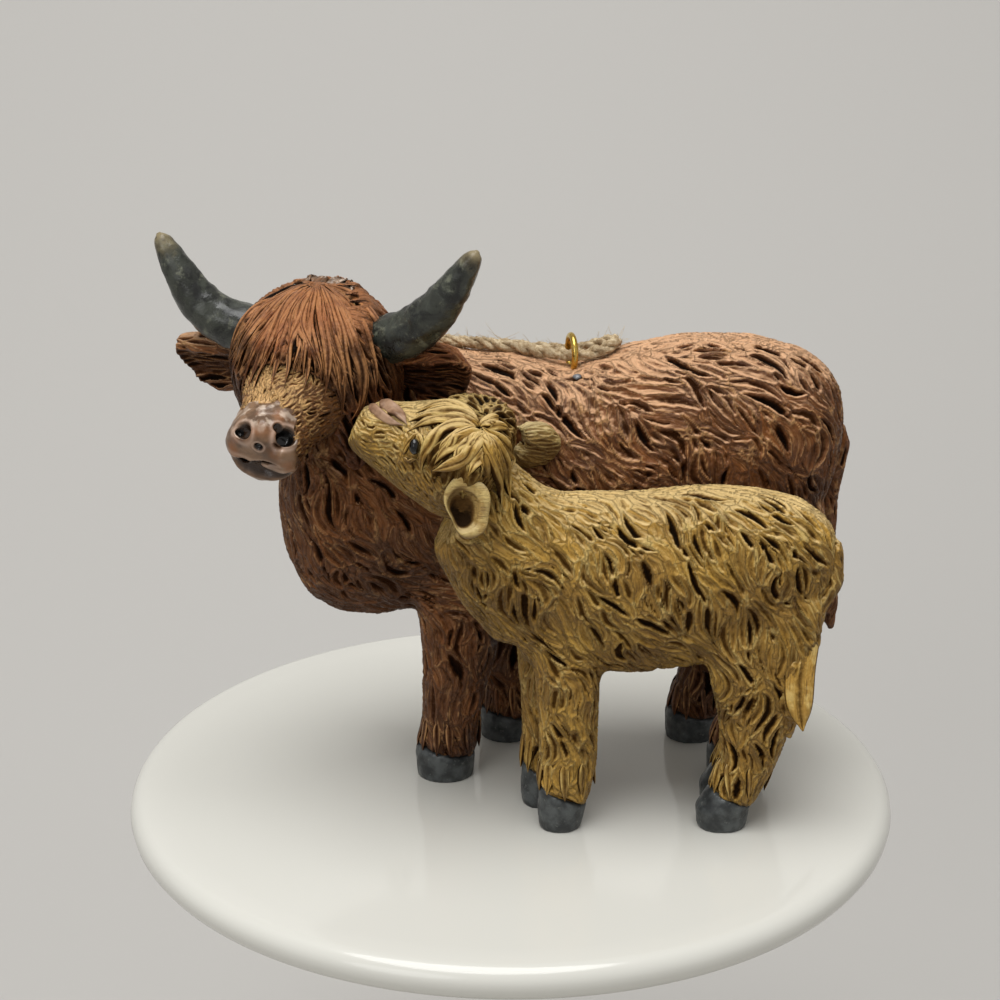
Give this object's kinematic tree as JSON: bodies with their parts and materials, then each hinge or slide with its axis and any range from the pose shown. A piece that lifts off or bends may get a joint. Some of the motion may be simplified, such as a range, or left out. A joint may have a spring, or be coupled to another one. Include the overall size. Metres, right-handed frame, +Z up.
{
  "type": "animal figurine",
  "caption": "Cast resin Highland cow standing beside her calf, with a screw eye in her back and a loop of jute twine to hang the ornament by.",
  "frame": {"origin": "on the floor, under the middle of the figures' bounding box, the twine left out", "axes": "+Z up; the cow stands along X with her brisket towards -X and her rump towards +X, and both the calf and the cow's turned head are on the -Y side"},
  "size_m": [0.1006, 0.0511, 0.0845],
  "materials": {
    "cow_coat": "cast resin, rust brown, dark wash in the hair and dry-brushed ridges",
    "cow_forelock": "cast resin, golden brown locks",
    "cow_muzzle": "cast resin, mauve grey",
    "cow_horn": "cast resin, slate grey-green to a beige tip",
    "cow_hoof": "cast resin, dark slate grey, slightly glossy",
    "calf_coat": "cast resin, ochre, dark wash in the hair and dry-brushed ridges",
    "calf_topknot": "cast resin, pale ochre locks",
    "calf_muzzle": "cast resin, mauve",
    "calf_eye": "glossy black",
    "calf_hoof": "cast resin, dark slate grey, slightly glossy",
    "brass": "bright wire",
    "glue": "a small bead of set glue, cloudy grey",
    "jute": "twisted jute"
  },
  "bodies": {
    "root": {"cow_trunk": "cow_coat", "cow_neck": "cow_coat", "cow_head": "cow_coat", "cow_ear_left": "cow_coat", "cow_ear_right": "cow_coat", "cow_tail": "cow_coat", "cow_leg_front_left": "cow_coat", "cow_leg_front_right": "cow_coat", "cow_leg_hind_left": "cow_coat", "cow_leg_hind_right": "cow_coat", "cow_forelock": "cow_forelock", "cow_muzzle": "cow_muzzle", "cow_horn_right": "cow_horn", "cow_horn_left": "cow_horn", "cow_hoof_front_left": "cow_hoof", "cow_hoof_front_right": "cow_hoof", "cow_hoof_hind_left": "cow_hoof", "cow_hoof_hind_right": "cow_hoof", "calf_trunk": "calf_coat", "calf_neck": "calf_coat", "calf_head": "calf_coat", "calf_ear_left": "calf_coat", "calf_ear_right": "calf_coat", "calf_tail": "calf_coat", "calf_leg_front_left": "calf_coat", "calf_leg_front_right": "calf_coat", "calf_leg_hind_left": "calf_coat", "calf_leg_hind_right": "calf_coat", "calf_topknot": "calf_topknot", "calf_muzzle": "calf_muzzle", "calf_eyes": "calf_eye", "calf_hoof_front_left": "calf_hoof", "calf_hoof_front_right": "calf_hoof", "calf_hoof_hind_left": "calf_hoof", "calf_hoof_hind_right": "calf_hoof", "screw_eye": "brass", "glue_bead": "glue", "hang_twine": "jute", "twine_knot": "jute"}
  },
  "joints": []
}
